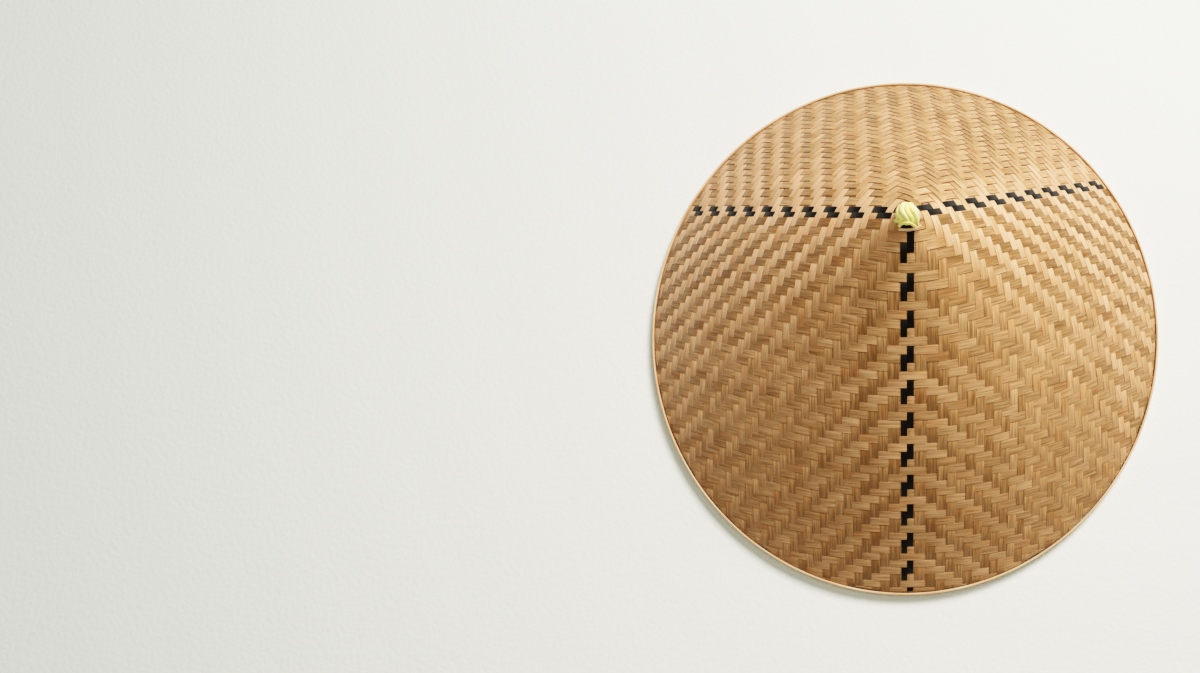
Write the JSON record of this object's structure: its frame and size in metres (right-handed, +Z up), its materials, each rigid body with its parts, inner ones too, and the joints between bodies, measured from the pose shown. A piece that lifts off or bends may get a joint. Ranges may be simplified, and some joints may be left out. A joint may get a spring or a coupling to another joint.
{
  "type": "conical bamboo hat",
  "caption": "Wide conical hat of two twill-woven bamboo skins, lashed to a rod bundle and hoop at the rim, with a woven ring inside for the head.",
  "frame": {"origin": "middle of the rim, on the surface that the hat rests on", "axes": "+Z up through the hat towards the peak; +Y towards the back, where the peak stands behind the middle; +X to the right seen from the front"},
  "size_m": [0.41, 0.4282, 0.1925],
  "materials": {
    "fine_weave": "satin split bamboo in a fine twill weave, tan with lighter and darker strips and two black strips beside each seam line",
    "coarse_weave": "satin split bamboo in a coarse twill weave, fibrous and warm tan",
    "split_rods": "matt thin split rods, grey-brown with pale streaks",
    "pale_splint": "smooth pale cream bamboo splint",
    "ring_weave": "soft pale woven bamboo strips, plaited over at the edge",
    "yellow_thread": "pale yellow flat plastic-like raffia thread"
  },
  "bodies": {
    "root": {"outer_skin": "fine_weave", "inner_skin": "coarse_weave", "rim_bundle": "split_rods", "edge_hoop": "pale_splint", "head_ring": "ring_weave", "peak_knot": "yellow_thread"}
  },
  "joints": []
}
